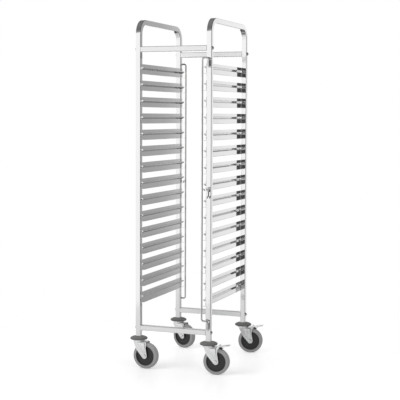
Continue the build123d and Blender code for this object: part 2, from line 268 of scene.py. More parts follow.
glow_level = worked_out(paint, "MULTIPLY", (-300, 0), floor_rays.outputs["Is Camera Ray"], lift)
paint.links.new(glow_level, glow.inputs["Strength"])
lit = add_node(paint, "ShaderNodeAddShader", (0, 100))
paint.links.new(matt.outputs[0], lit.inputs[0])
paint.links.new(glow.outputs[0], lit.inputs[1])
sheen = add_node(paint, "ShaderNodeBsdfGlossy", (0, -100))
sheen.inputs["Roughness"].default_value = FLOOR_SHEEN_ROUGHNESS
satin = add_node(paint, "ShaderNodeMixShader", (150, 100))
satin.inputs["Fac"].default_value = FLOOR_SHEEN
paint.links.new(lit.outputs[0], satin.inputs[1])
paint.links.new(sheen.outputs[0], satin.inputs[2])
gone = add_node(paint, "ShaderNodeBsdfTransparent", (150, -50))
faded = add_node(paint, "ShaderNodeMixShader", (300, 50))
paint.links.new(there, faded.inputs["Fac"])
paint.links.new(gone.outputs[0], faded.inputs[1])
paint.links.new(satin.outputs[0], faded.inputs[2])
floor_out = add_node(paint, "ShaderNodeOutputMaterial", (500, 50))
paint.links.new(faded.outputs[0], floor_out.inputs["Surface"])
floor_mesh.materials.append(floor_material)

# %% [markdown]
# ## Shared effects
# Three effects appear on several finishes, so each is a node group, built once. A
# group only works out masks and heights; the shader itself stays in each material.
# - Brushed grain: noise pulled out along one axis, as a polishing belt leaves it.
# - Handling: large, faint patches where hands and cloths have dulled the metal.
# - Moulded skin: fine speckle for rubber and plastic, with light dust on top faces.

# %% Node groups for the finishes
BAND_COARSENESS = 0.12
PATCH_FROM = 0.45
PATCH_FULL = 0.75
DUST_FROM_SLOPE = 0.2
DUST_DRIFT_SCALE = 40.0


def effect_group(name, inputs, outputs):
    group = bpy.data.node_groups.new(name, "ShaderNodeTree")
    for label, kind, value in inputs:
        socket = group.interface.new_socket(name=label, in_out="INPUT", socket_type=kind)
        socket.default_value = value
    for label, kind in outputs:
        group.interface.new_socket(name=label, in_out="OUTPUT", socket_type=kind)
    entry = add_node(group, "NodeGroupInput", (-900, 0))
    leave = add_node(group, "NodeGroupOutput", (700, 0))
    return group, entry, leave


def build_brushed_grain():
    group, entry, leave = effect_group(
        "brushed grain",
        [("Stretch", "NodeSocketVector", (1, 1, 1)), ("Fineness", "NodeSocketFloat", 900.0)],
        [("Streaks", "NodeSocketFloat"), ("Bands", "NodeSocketFloat")],
    )
    where = add_node(group, "ShaderNodeTexCoord", (-900, -250))
    pulled = add_node(group, "ShaderNodeVectorMath", (-650, -150), operation="MULTIPLY")
    group.links.new(where.outputs["Object"], pulled.inputs[0])
    group.links.new(entry.outputs["Stretch"], pulled.inputs[1])
    fine = add_node(group, "ShaderNodeTexNoise", (-350, 100))
    fine.inputs["Detail"].default_value = 3.0
    fine.inputs["Roughness"].default_value = 0.7
    group.links.new(pulled.outputs[0], fine.inputs["Vector"])
    group.links.new(entry.outputs["Fineness"], fine.inputs["Scale"])
    wide_scale = worked_out(group, "MULTIPLY", (-550, -300), entry.outputs["Fineness"], BAND_COARSENESS)
    wide = add_node(group, "ShaderNodeTexNoise", (-350, -200))
    wide.inputs["Detail"].default_value = 2.0
    group.links.new(pulled.outputs[0], wide.inputs["Vector"])
    group.links.new(wide_scale, wide.inputs["Scale"])
    group.links.new(fine.outputs["Fac"], leave.inputs["Streaks"])
    group.links.new(wide.outputs["Fac"], leave.inputs["Bands"])
    return group


def build_handling():
    group, entry, leave = effect_group(
        "handling",
        [("Patch size", "NodeSocketFloat", 5.0), ("Amount", "NodeSocketFloat", 0.5)],
        [("Dulling", "NodeSocketFloat")],
    )
    where = add_node(group, "ShaderNodeTexCoord", (-900, -250))
    patches = add_node(group, "ShaderNodeTexNoise", (-500, 0))
    patches.inputs["Detail"].default_value = 5.0
    patches.inputs["Roughness"].default_value = 0.62
    group.links.new(where.outputs["Object"], patches.inputs["Vector"])
    group.links.new(entry.outputs["Patch size"], patches.inputs["Scale"])
    keep = add_node(group, "ShaderNodeMapRange", (-200, 0), interpolation_type="SMOOTHSTEP")
    keep.inputs["From Min"].default_value = PATCH_FROM
    keep.inputs["From Max"].default_value = PATCH_FULL
    group.links.new(patches.outputs["Fac"], keep.inputs["Value"])
    group.links.new(entry.outputs["Amount"], keep.inputs["To Max"])
    group.links.new(keep.outputs["Result"], leave.inputs["Dulling"])
    return group


def build_moulded_skin():
    group, entry, leave = effect_group(
        "moulded skin",
        [("Speckle size", "NodeSocketFloat", 700.0), ("Dust", "NodeSocketFloat", 0.3)],
        [("Speckle", "NodeSocketFloat"), ("Dust mask", "NodeSocketFloat")],
    )
    where = add_node(group, "ShaderNodeTexCoord", (-900, -250))
    speckle = add_node(group, "ShaderNodeTexNoise", (-500, 150))
    speckle.inputs["Detail"].default_value = 4.0
    group.links.new(where.outputs["Object"], speckle.inputs["Vector"])
    group.links.new(entry.outputs["Speckle size"], speckle.inputs["Scale"])
    facing = add_node(group, "ShaderNodeNewGeometry", (-900, -450))
    split = add_node(group, "ShaderNodeSeparateXYZ", (-700, -450))
    group.links.new(facing.outputs["Normal"], split.inputs[0])
    settled = smooth_step(group, split.outputs["Z"], DUST_FROM_SLOPE, 1.0, 0.0, 1.0, (-500, -400))
    drift = add_node(group, "ShaderNodeTexNoise", (-500, -150))
    drift.inputs["Scale"].default_value = DUST_DRIFT_SCALE
    drift.inputs["Detail"].default_value = 6.0
    group.links.new(where.outputs["Object"], drift.inputs["Vector"])
    broken = worked_out(group, "MULTIPLY", (-250, -250), settled, drift.outputs["Fac"])
    amount = worked_out(group, "MULTIPLY", (0, -200), broken, entry.outputs["Dust"])
    group.links.new(speckle.outputs["Fac"], leave.inputs["Speckle"])
    group.links.new(amount, leave.inputs["Dust mask"])
    return group


GRAIN = build_brushed_grain()
HANDLING = build_handling()
SKIN = build_moulded_skin()
print("effect groups:", [g.name for g in (GRAIN, HANDLING, SKIN)])

# %% [markdown]
# ## Metal finishes
# Every metal here is one recipe with its own colour, roughness and grain: along the legs,
# across the cross bars, and from front to rear on the rails. The grain changes the
# roughness and raises tiny ridges, and the handling patches dull it a little more. The
# cross bars are brushed coarser than the polished legs, so they mirror less. The catch's
# darker colour is painted shade.

# %% Metal materials
GRAIN_ALONG = {
    "X": (0.02, 1, 1),
    "Y": (1, 0.02, 1),
    "Z": (1, 1, 0.02),
    "none": (1, 1, 1),
}
GRAIN_RIDGE_DEPTH = 0.0005
ROUGHNESS_SPREAD = 0.25


def blank_material(name):
    material = bpy.data.materials.new(name)
    material.use_nodes = True
    tree = material.node_tree
    shader = tree.nodes["Principled BSDF"]
    return material, tree, shader


def ranged(tree, source, low, high, place):
    """A mask from 0 to 1 turned into a value between low and high."""
    span = add_node(tree, "ShaderNodeMapRange", place)
    span.inputs["To Min"].default_value = low
    span.inputs["To Max"].default_value = high
    tree.links.new(source, span.inputs["Value"])
    return span.outputs["Result"]


def grey_between(tree, source, dark, light, place):
    """A mask from 0 to 1 turned into a colour between two colours."""
    blend = add_node(tree, "ShaderNodeMix", place, data_type="RGBA")
    blend.inputs[6].default_value = (*dark, 1)
    blend.inputs[7].default_value = (*light, 1)
    tree.links.new(source, blend.inputs[0])
    return blend.outputs[2]


def metal(name, colour, roughness, along, fineness=900.0, ridge=0.02, dulling=0.03, contrast=0.03):
    material, tree, shader = blank_material(name)
    grain = add_node(tree, "ShaderNodeGroup", (-900, 100), node_tree=GRAIN)
    grain.inputs["Stretch"].default_value = GRAIN_ALONG[along]
    grain.inputs["Fineness"].default_value = fineness
    hands = add_node(tree, "ShaderNodeGroup", (-900, -200), node_tree=HANDLING)
    hands.inputs["Amount"].default_value = dulling
    dark = [c * (1 - contrast) for c in colour]
    light = [min(1, c * (1 + contrast)) for c in colour]
    tone = grey_between(tree, grain.outputs["Bands"], dark, light, (-600, 300))
    tree.links.new(tone, shader.inputs["Base Color"])
    smoothest = roughness * (1 - ROUGHNESS_SPREAD)
    roughest = roughness * (1 + ROUGHNESS_SPREAD)
    brushed = ranged(tree, grain.outputs["Streaks"], smoothest, roughest, (-600, 50))
    worn = worked_out(tree, "ADD", (-350, -50), brushed, hands.outputs["Dulling"])
    tree.links.new(worn, shader.inputs["Roughness"])
    bump = add_node(tree, "ShaderNodeBump", (-350, -300))
    bump.inputs["Strength"].default_value = ridge
    bump.inputs["Distance"].default_value = GRAIN_RIDGE_DEPTH
    tree.links.new(grain.outputs["Streaks"], bump.inputs["Height"])
    tree.links.new(bump.outputs["Normal"], shader.inputs["Normal"])
    shader.inputs["Metallic"].default_value = 1.0
    return material


TUBE_GREY = (0.91, 0.91, 0.91)
UPRIGHT_STEEL = metal("steel along uprights", TUBE_GREY, 0.07, "Z")
CROSS_STEEL = metal("steel across bars", TUBE_GREY, 0.3, "X")
RAIL_STEEL = metal("steel sheet along rails", (0.85, 0.85, 0.85), 0.06, "Y")
WIRE_STEEL = metal("polished wire", (0.72, 0.72, 0.72), 0.08, "Z", ridge=0.01)
SMALL_STEEL = metal("plain steel fittings", (0.62, 0.62, 0.62), 0.16, "none", fineness=500.0)
LATCH_STEEL = metal("cut latch plate", (0.13, 0.13, 0.13), 0.25, "none", fineness=500.0)
BOLT_STEEL = metal("bolt steel", (0.78, 0.78, 0.78), 0.16, "none", fineness=1200.0)
WELD_STEEL = metal("cleaned weld bead", (0.6, 0.59, 0.57), 0.3, "none", fineness=1500.0, contrast=0.12)
# The catch's steel is darker than the other fittings: painted shade, standing for the shadow and dark
# reflection on its folded sides.
SHADED_CATCH_STEEL = metal("folded catch steel", (0.42, 0.42, 0.42), 0.12, "none", fineness=500.0)
ZINC = metal("bright zinc plate", (0.94, 0.945, 0.95), 0.27, "none", fineness=260.0, dulling=0.06)

# %% [markdown]
# ## Rubber and plastic finishes
# The bumper discs are dark grey rubber, the tyres a lighter grey that leaves no marks,
# and the wheel centres nearly black moulded plastic. All three have a fine skin and a
# trace of dust on what faces up.

# %% Rubber and plastic materials
DUST_COLOUR = (0.5, 0.49, 0.47, 1)
SKIN_DEPTH = 0.0006
SKIN_ROUGHNESS_SPREAD = 0.15


def moulded(name, dark, light, roughness, speckle_size, dust, ridge):
    material, tree, shader = blank_material(name)
    skin = add_node(tree, "ShaderNodeGroup", (-900, 100), node_tree=SKIN)
    skin.inputs["Speckle size"].default_value = speckle_size
    skin.inputs["Dust"].default_value = dust
    body = grey_between(tree, skin.outputs["Speckle"], dark, light, (-600, 300))
    dusty = add_node(tree, "ShaderNodeMix", (-350, 300), data_type="RGBA")
    dusty.inputs[7].default_value = DUST_COLOUR
    tree.links.new(body, dusty.inputs[6])
    tree.links.new(skin.outputs["Dust mask"], dusty.inputs[0])
    tree.links.new(dusty.outputs[2], shader.inputs["Base Color"])
    smoothest = roughness * (1 - SKIN_ROUGHNESS_SPREAD)
    roughest = roughness * (1 + SKIN_ROUGHNESS_SPREAD)
    rough = ranged(tree, skin.outputs["Speckle"], smoothest, roughest, (-600, 0))
    tree.links.new(rough, shader.inputs["Roughness"])
    bump = add_node(tree, "ShaderNodeBump", (-350, -300))
    bump.inputs["Strength"].default_value = ridge
    bump.inputs["Distance"].default_value = SKIN_DEPTH
    tree.links.new(skin.outputs["Speckle"], bump.inputs["Height"])
    tree.links.new(bump.outputs["Normal"], shader.inputs["Normal"])
    return material


BUMPER_RUBBER = moulded("bumper rubber", (0.11,) * 3, (0.15,) * 3, 0.42, 600.0, 0.3, 0.2)
TYRE_RUBBER = moulded("grey tyre rubber", (0.34,) * 3, (0.4,) * 3, 0.5, 500.0, 0.2, 0.3)
# The brake lining is nearly black rubber; part of that darkness is painted shade, for the shadow under the
# pedal.
LINING_RUBBER_AND_SHADE = moulded("brake lining", (0.02,) * 3, (0.03,) * 3, 0.7, 900.0, 0.1, 0.15)
HUB_PLASTIC = moulded("wheel centre plastic", (0.022,) * 3, (0.034,) * 3, 0.42, 900.0, 0.15, 0.15)
INSERT_PLASTIC = moulded("insert plastic", (0.05,) * 3, (0.07,) * 3, 0.6, 700.0, 0.0, 0.2)

# %% [markdown]
# ## Dressing the carried-over pieces
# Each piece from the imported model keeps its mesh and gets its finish. Real sheet and
# tube never have perfectly sharp edges, so a narrow bevel is added as a modifier,
# after a weld that joins the loose triangles. The weighted normals keep the flat
# faces flat while the new edge catches a thin line of light.

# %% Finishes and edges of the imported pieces
EDGE_ANGLE = math.radians(32)
JOIN_DISTANCE = 0.00001
FLAT_FACE_WEIGHT = 80
FINISHES = {
    "side_frame": (UPRIGHT_STEEL, 0.0003),
    "cross_bar": (CROSS_STEEL, 0.0003),
    "tray_rails": (RAIL_STEEL, 0.0003),
    "bar_end_inserts": (INSERT_PLASTIC, 0.0004),
    "frame_bolts": (BOLT_STEEL, 0.0004),
    "rod_bushes": (SMALL_STEEL, 0.0005),
    "latch_catch": (SHADED_CATCH_STEEL, 0.0004),
    "latch_fork": (LATCH_STEEL, 0.0004),
    "retaining_rod": (WIRE_STEEL, 0.0005),
    "castor_stem": (ZINC, 0.0005),
    "castor_bumper": (BUMPER_RUBBER, 0.0006),
    "castor_fork": (ZINC, 0.0006),
    "castor_axle": (BOLT_STEEL, 0.0004),
    "wheel_hub": (HUB_PLASTIC, 0.0008),
    "wheel_tyre": (TYRE_RUBBER, 0.0015),
    "brake_pedal": (ZINC, 0.0005),
}


def finish_of(node_name):
    for start, finish in FINISHES.items():
        if node_name.startswith(start):
            return finish
    raise KeyError(node_name)


def dress(node_name):
    piece = nodes[node_name]
    material, edge = finish_of(node_name)
    piece.data.materials.clear()
    piece.data.materials.append(material)
    for face in piece.data.polygons:
        face.use_smooth = True
    weld = piece.modifiers.new("join loose triangles", "WELD")
    weld.merge_threshold = JOIN_DISTANCE
    bevel = piece.modifiers.new("soft edges", "BEVEL")
    bevel.width = edge
    bevel.segments = 2
    bevel.limit_method = "ANGLE"
    bevel.angle_limit = EDGE_ANGLE
    shade = piece.modifiers.new("flat faces stay flat", "WEIGHTED_NORMAL")
    shade.weight = FLAT_FACE_WEIGHT


for node_name in sorted(nodes):
    dress(node_name)
print("dressed", len(nodes), "packed pieces")

# %% [markdown]
# ## Where the repeated pieces go
# Bolts, axles, tyres, bumper discs and pedal ridges all sit on places that the packed
# model already fixes: the eight bar ends, and the four swivelling castors, each turned
# its own way. A place is a matrix that carries a piece from its own axes to where it
# sits, so one way of setting pieces serves them all.

# %% Places of bolts and castors
MM = 0.001
LEG_PLACES = {
    "front_left": (-1, -1),
    "front_right": (1, -1),
    "rear_left": (-1, 1),
    "rear_right": (1, 1),
}
CASTOR_TRAIL = 38.5 * MM
AXLE_HEIGHT = 62.5 * MM
OUTER_X = 192 * MM
LEG_X = 179.5 * MM
LEG_Y = 257.5 * MM
BAR_HEIGHTS = (196.5 * MM, 1530 * MM)


def facing(place, outward, spin=0.0):
    """A matrix at a place, with Z along the outward direction."""
    turn = Vector(outward).to_track_quat("Z", "Y").to_matrix().to_4x4()
    return Matrix.Translation(place) @ turn @ Matrix.Rotation(spin, 4, "Z")


def castor_heading(place):
    """The castor's own direction, read from where its packed axle lies."""
    side, end = LEG_PLACES[place]
    low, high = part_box("castor_axle_" + place)
    away = (Vector(low) + Vector(high)) / 2 - Vector((side * LEG_X, end * LEG_Y, 0))
    return math.atan2(away.y, away.x)


def castor_seat(place):
    side, end = LEG_PLACES[place]
    here = Matrix.Translation((side * LEG_X, end * LEG_Y, 0))
    return here @ Matrix.Rotation(castor_heading(place), 4, "Z")


def axle_seat(place):
    """The wheel's centre, with Z along the axle."""
    centre = Matrix.Translation((CASTOR_TRAIL, 0, AXLE_HEIGHT))
    return castor_seat(place) @ centre @ Matrix.Rotation(math.pi / 2, 4, "X")


for place in LEG_PLACES:
    print(place, "castor trails at", round(math.degrees(castor_heading(place)), 1), "degrees")

# %% [markdown]
# ## Turned pieces
# Bolts, axles, tyres and bumper discs are round, so each is a profile turned about its
# axis, as a lathe would cut it. Where a ring of the profile belongs to a hexagon socket,
# its radius follows the six flats instead of a circle.

# %% A lathe for round pieces
def socket_radius(radius, turn):
    """Distance to the side of a hexagon whose corners are at the given radius."""
    sixth = math.pi / 3
    within = turn % sixth - sixth / 2
    return radius * math.cos(sixth / 2) / math.cos(within)


def turned(name, profile, segments=48, six_sided=(), smooth_angle=40):
    """A closed solid from (radius, height) points in millimetres; off the axis, the ends join up."""
    form = bmesh.new()
    rings = []
    for index, (radius, height) in enumerate(profile):
        if radius == 0:
            rings.append([form.verts.new((0, 0, height * MM))])
            continue
        ring = []
        for step in range(segments):
            turn = 2 * math.pi * step / segments
            reach = (socket_radius(radius, turn) if index in six_sided else radius) * MM
            ring.append(form.verts.new((reach * math.cos(turn), reach * math.sin(turn), height * MM)))
        rings.append(ring)
    if len(rings[0]) > 1:
        rings.append(rings[0])
    for near, far in zip(rings, rings[1:]):
        for step in range(segments):
            following = (step + 1) % segments
            corners = [
                near[step % len(near)],
                near[following % len(near)],
                far[following % len(far)],
                far[step % len(far)],
            ]
            unique = list(dict.fromkeys(corners))
            if len(unique) > 2:
                form.faces.new(unique)
    bmesh.ops.recalc_face_normals(form, faces=form.faces)
    return finished_mesh(name, form, smooth_angle)


def finished_mesh(name, form, smooth_angle=40):
    """Turn a bmesh into a mesh that is smooth, apart from edges sharper than the angle."""
    limit = math.radians(smooth_angle)
    for edge in form.edges:
        edge.smooth = len(edge.link_faces) != 2 or edge.calc_face_angle(0) < limit
    for face in form.faces:
        face.smooth = True
    mesh = bpy.data.meshes.new(name)
    form.to_mesh(mesh)
    form.free()
    return mesh


BOLT_PROFILE = [
    (0, 2.6),
    (2.9, 2.6),
    (2.9, 5.2),
    (3.6, 5.6),
    (6.0, 4.6),
    (7.0, 2.9),
    (7.2, 1.3),
    (8.4, 1.25),
    (8.7, 0.9),
    (8.7, 0.05),
    (4.0, 0),
    (4.0, -45.5),
    (3.2, -47),
    (0, -47),
]
bolt_mesh = turned("dome bolt", BOLT_PROFILE, segments=36, six_sided=(1, 2))
print("dome bolt:", len(bolt_mesh.polygons), "faces")

# %% [markdown]
# ## Geometry Nodes: one piece set on many places
# A fitter drives the same bolt into every joint. Here a small node tree does that job:
# it takes a cloud of places, sets a copy of the piece on each, twists each copy by a
# seeded random angle the way real sockets end up, and makes the copies real mesh.

# %% The tree that sets pieces on places
def tree_input(tree, label, kind, value=None):
    socket = tree.interface.new_socket(name=label, in_out="INPUT", socket_type=kind)
    if value is not None:
        socket.default_value = value
    return socket


def build_setting_tree():
    tree = bpy.data.node_groups.new("set pieces on places", "GeometryNodeTree")
    tree_input(tree, "Places", "NodeSocketGeometry")
    tree_input(tree, "Piece", "NodeSocketObject")
    tree_input(tree, "Random twist", "NodeSocketFloat", 0.0)
    tree_input(tree, "Seed", "NodeSocketInt", 1)
    tree_input(tree, "Finish", "NodeSocketMaterial")
    tree.interface.new_socket(name="Pieces", in_out="OUTPUT", socket_type="NodeSocketGeometry")
    entry = add_node(tree, "NodeGroupInput", (-900, 0))
    leave = add_node(tree, "NodeGroupOutput", (900, 0))
    piece = add_node(tree, "GeometryNodeObjectInfo", (-600, -200))
    piece.inputs["As Instance"].default_value = True
    turn = add_node(tree, "GeometryNodeInputNamedAttribute", (-600, 300), data_type="FLOAT_VECTOR")
    turn.inputs["Name"].default_value = "turn"
    pose = add_node(tree, "FunctionNodeEulerToRotation", (-350, 300))
    chance = add_node(tree, "FunctionNodeRandomValue", (-600, 550), data_type="FLOAT")
    chance.inputs[2].default_value = -1.0
    chance.inputs[3].default_value = 1.0
    amount = add_node(tree, "ShaderNodeMath", (-350, 550), operation="MULTIPLY")
    about_z = add_node(tree, "ShaderNodeCombineXYZ", (-150, 550))
    twist = add_node(tree, "FunctionNodeEulerToRotation", (50, 550))
    twisted = add_node(tree, "FunctionNodeRotateRotation", (250, 400), rotation_space="LOCAL")
    copies = add_node(tree, "GeometryNodeInstanceOnPoints", (300, 50))
    real = add_node(tree, "GeometryNodeRealizeInstances", (500, 50))
    paint = add_node(tree, "GeometryNodeSetMaterial", (700, 50))
    link = tree.links.new
    link(entry.outputs["Piece"], piece.inputs["Object"])
    link(turn.outputs["Attribute"], pose.inputs[0])
    link(entry.outputs["Seed"], chance.inputs["Seed"])
    link(chance.outputs[1], amount.inputs[0])
    link(entry.outputs["Random twist"], amount.inputs[1])
    link(amount.outputs[0], about_z.inputs["Z"])
    link(about_z.outputs[0], twist.inputs[0])
    link(pose.outputs[0], twisted.inputs[0])
    link(twist.outputs[0], twisted.inputs[1])
    link(entry.outputs["Places"], copies.inputs["Points"])
    link(piece.outputs["Geometry"], copies.inputs["Instance"])
    link(twisted.outputs[0], copies.inputs["Rotation"])
    link(copies.outputs[0], real.inputs[0])
    link(real.outputs[0], paint.inputs["Geometry"])
    link(entry.outputs["Finish"], paint.inputs["Material"])
    link(paint.outputs[0], leave.inputs[0])
    return tree


SETTING_TREE = build_setting_tree()
print("tree inputs:", [item.name for item in SETTING_TREE.interface.items_tree if item.in_out == "INPUT"])

# %% [markdown]
# ## Running a tree and keeping its mesh
# The export drops live instances, so each result is evaluated once, kept as a plain
# mesh, and the modifier goes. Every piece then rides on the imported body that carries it.

# %% Running a tree and keeping its mesh
def run_tree(piece, tree, values):
    """Give a piece the tree, set its inputs by identifier, and keep the result as plain mesh."""
    maker = piece.modifiers.new(tree.name, "NODES")
    maker.node_group = tree
    for item in tree.interface.items_tree:
        if item.in_out == "INPUT" and item.name in values:
            maker[item.identifier] = values[item.name]
    piece.update_tag()
    graph = bpy.context.evaluated_depsgraph_get()
    made = bpy.data.meshes.new_from_object(piece.evaluated_get(graph), depsgraph=graph)
    piece.modifiers.remove(maker)
    piece.data = made
    made.name = piece.name
    return piece


def carried(piece, body, slot, *replaced):
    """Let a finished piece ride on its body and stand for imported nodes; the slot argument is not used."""
    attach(piece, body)
    if replaced:
        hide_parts(*replaced)
    return piece


def new_piece(name, mesh):
    piece = bpy.data.objects.new(name, mesh)
    scene.collection.objects.link(piece)
    return piece


def set_on_places(name, mesh, places, finish, random_twist=0.0, seed=1):
    """One plain mesh that holds a copy of the given mesh on every place."""
    mesh.materials.clear()
    mesh.materials.append(finish)
    pattern = bpy.data.objects.new(name + " pattern", mesh)
    cloud = bpy.data.meshes.new(name)
    cloud.from_pydata([tuple(place.to_translation()) for place in places], [], [])
    turns = cloud.attributes.new("turn", "FLOAT_VECTOR", "POINT")
    for value, place in zip(turns.data, places):
        value.vector = tuple(place.to_euler())
    piece = new_piece(name, cloud)
    values = {"Piece": pattern, "Random twist": random_twist, "Seed": seed, "Finish": finish}
    run_tree(piece, SETTING_TREE, values)
    bpy.data.objects.remove(pattern)
    finishes = [material.name for material in piece.data.materials]
    print(name, "on", len(places), "places:", len(piece.data.polygons), "faces", finishes)
    return piece


# %% [markdown]
# ## Frame bolts
# Each cross bar end is held by one dome bolt with a hexagon socket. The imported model
# has plain domes; these have the socket and the thin flange under the head.

# %% Frame bolts
BOLT_TWIST = 0.5
bolt_places = [
    facing((side * OUTER_X, end * LEG_Y, height), (side, 0, 0))
    for side, end in LEG_PLACES.values()
    for height in BAR_HEIGHTS
]
frame_bolts = set_on_places("socket_bolts", bolt_mesh, bolt_places, BOLT_STEEL, BOLT_TWIST, seed=4)
carried(frame_bolts, "frame", "bolt_steel", "frame_bolts")

# %% [markdown]
# ## Castor axles
# A turned rivet whose rounded end has a small centre hole on both sides of the fork.

# %% Castor axles
AXLE_END = [
    (0, 24.1),
    (1.5, 24.1),
    (1.7, 25.3),
    (4.5, 25.2),
    (7.2, 24.4),
    (8.3, 23.2),
    (8.5, 22.05),
    (5.0, 22.0),
]
AXLE_PROFILE = AXLE_END + [(radius, -height) for radius, height in reversed(AXLE_END)]
axle_mesh = turned("castor axle", AXLE_PROFILE, segments=36)
for place in LEG_PLACES:
    axle = set_on_places("axle_" + place, axle_mesh, [axle_seat(place)], ZINC)
    carried(axle, "castor_" + place, "bolt_steel", "castor_axle_" + place)

# %% [markdown]
# ## Tyres
# A solid grey tyre is moulded onto the wheel centre. Its shoulders are round, its sides
# have a shallow groove, and a faint line runs round the tread where the mould parted.

# %% Tyres
TYRE_SIDE = [
    (62.75, 0.0),
    (62.5, 0.5),
    (62.5, 8.0),
    (62.2, 10.5),
    (61.2, 12.9),
    (59.6, 14.7),
    (57.6, 15.7),
    (55.6, 16.0),
    (54.6, 15.9),
    (54.2, 15.4),
    (53.4, 15.4),
    (53.0, 15.9),
    (50.0, 16.0),
    (47.6, 16.0),
]
TYRE_PROFILE = TYRE_SIDE + [(radius, -width) for radius, width in reversed(TYRE_SIDE[1:])]
tyre_mesh = turned("tyre", TYRE_PROFILE, segments=96, smooth_angle=60)
for place in LEG_PLACES:
    tyre = set_on_places("tyre_" + place, tyre_mesh, [axle_seat(place)], TYRE_RUBBER)
    carried(tyre, "wheel_" + place, "tyre_rubber", "wheel_tyre_" + place)

# %% [markdown]
# ## Bumper discs
# A soft disc sits between each leg and its castor, so that the trolley doesn't mark
# walls. Its underside is flat, its rim is round, and its top falls away like a saucer.

# %% Bumper discs
BUMPER_UNDERSIDE = 139.0
BUMPER_SECTION = [
    (6.2, 0.0),
    (37.5, 0.0),
    (40.5, 1.0),
    (42.2, 3.2),
    (42.5, 5.4),
    (41.8, 7.6),
    (39.0, 10.2),
    (33.0, 13.0),
    (27.0, 14.8),
    (24.0, 15.6),
    (22.0, 16.0),
    (6.2, 16.0),
]
BUMPER_PROFILE = [(radius, BUMPER_UNDERSIDE + height) for radius, height in BUMPER_SECTION]
bumper_mesh = turned("bumper disc", BUMPER_PROFILE, segments=72, smooth_angle=50)
for place in LEG_PLACES:
    disc = set_on_places("bumper_" + place, bumper_mesh, [castor_seat(place)], BUMPER_RUBBER)
    carried(disc, "frame", "bumper_rubber", "castor_bumper_" + place)

# %% [markdown]
# ## Pressed ribs on the castor forks
# A fork is pressed from thin sheet, and a raised panel on each side plate makes it
# stiff. Its sloping rim is what draws the upright streaks on the forks. The panel is a
# flat outline, raised in three steps that each draw in a little.

# %% Pressed ribs
RIB_OUTLINE = [(2, 128), (41, 128), (41.5, 104), (44.5, 86), (43.5, 79), (38, 76.5), (31, 78), (24, 84)]
RIB_STEPS = [(0.0, -0.3), (0.7, 1.0), (2.4, 2.2), (3.6, 2.5)]
FORK_SIDE = 22.0


def drawn_in(outline, distance):
    """A convex outline with every side moved inwards by the same distance."""
    count = len(outline)
    middle = sum((Vector(point) for point in outline), Vector((0, 0))) / count
    sides = []
    for index in range(count):
        start = Vector(outline[index])
        along = (Vector(outline[(index + 1) % count]) - start).normalized()
        inward = Vector((-along.y, along.x))
        if inward.dot(middle - start) < 0:
            inward.negate()
        sides.append((start + inward * distance, along))
    corners = []
    for index in range(count):
        (here, along), (before, back) = sides[index], sides[index - 1]
        share = (before - here).cross(back) / along.cross(back)
        corners.append(here + along * share)
    return corners


def pressed_rib():
    form = bmesh.new()
    for side in (-1, 1):
        rings = []
        for inset, rise in RIB_STEPS:
            y = side * (FORK_SIDE + rise) * MM
            outline = drawn_in(RIB_OUTLINE, inset)
            rings.append([form.verts.new((point.x * MM, y, point.y * MM)) for point in outline])
        for near, far in zip(rings, rings[1:]):
            for index in range(len(near)):
                following = (index + 1) % len(near)
                form.faces.new((near[index], near[following], far[following], far[index]))
        form.faces.new(rings[0])
        form.faces.new(rings[-1])
    bmesh.ops.recalc_face_normals(form, faces=form.faces)
    return finished_mesh("pressed rib", form, 50)


rib_mesh = pressed_rib()
for place in LEG_PLACES:
    rib = set_on_places("fork_rib_" + place, rib_mesh, [castor_seat(place)], ZINC)
    carried(rib, "castor_" + place, "castor_zinc")

# %% [markdown]
# ## Brake pedals: grip ridges and lining
# A shoe slips on a bare plate, so ridges are pressed across the pedal's tip. Under it,
# a curved lining of nearly black rubber lies just over the tyre and follows its round;
# part of its darkness is painted shade from the pedal above.

# %% Brake pedal details
RIDGE_COUNT = 5
RIDGE_FIRST = 3.5
RIDGE_PITCH = 4.2
RIDGE_HALF_LENGTH = 13.0
RIDGE_RADIUS = 1.1
RIDGE_END = [
    (0, RIDGE_HALF_LENGTH),
    (0.7, RIDGE_HALF_LENGTH - 0.3),
    (RIDGE_RADIUS, RIDGE_HALF_LENGTH - 1),
]
PEDAL_TIP = Vector((104, 0, 141))
PEDAL_PIVOT = Vector((51, 0, 133.5))
LINING_RADII = (66.5, 69.0)
LINING_DEGREES = (9, 27)
LINING_HALF_WIDTH = 11.0
LINING_STEPS = 8
RIDGE_PROFILE = [(radius, -height) for radius, height in RIDGE_END] + RIDGE_END[::-1]
ridge_mesh = turned("pedal ridge", RIDGE_PROFILE, segments=16, smooth_angle=80)


def lining():
    """A curved strip between two radii about the axle, in the castor's own axes."""
    form = bmesh.new()
    start, end = LINING_DEGREES
    rings = []
    for step in range(LINING_STEPS + 1):
        angle = math.radians(start + (end - start) * step / LINING_STEPS)
        corners = []
        for radius, width in ((0, -1), (0, 1), (1, 1), (1, -1)):
            reach = LINING_RADII[radius] * MM
            x = CASTOR_TRAIL + reach * math.sin(angle)
            z = AXLE_HEIGHT + reach * math.cos(angle)
            corners.append(form.verts.new((x, width * LINING_HALF_WIDTH * MM, z)))
        rings.append(corners)
    for near, far in zip(rings, rings[1:]):
        for index in range(4):
            following = (index + 1) % 4
            form.faces.new((near[index], near[following], far[following], far[index]))
    form.faces.new(rings[0])
    form.faces.new(rings[-1])
    bmesh.ops.recalc_face_normals(form, faces=form.faces)
    return finished_mesh("brake lining", form, 40)


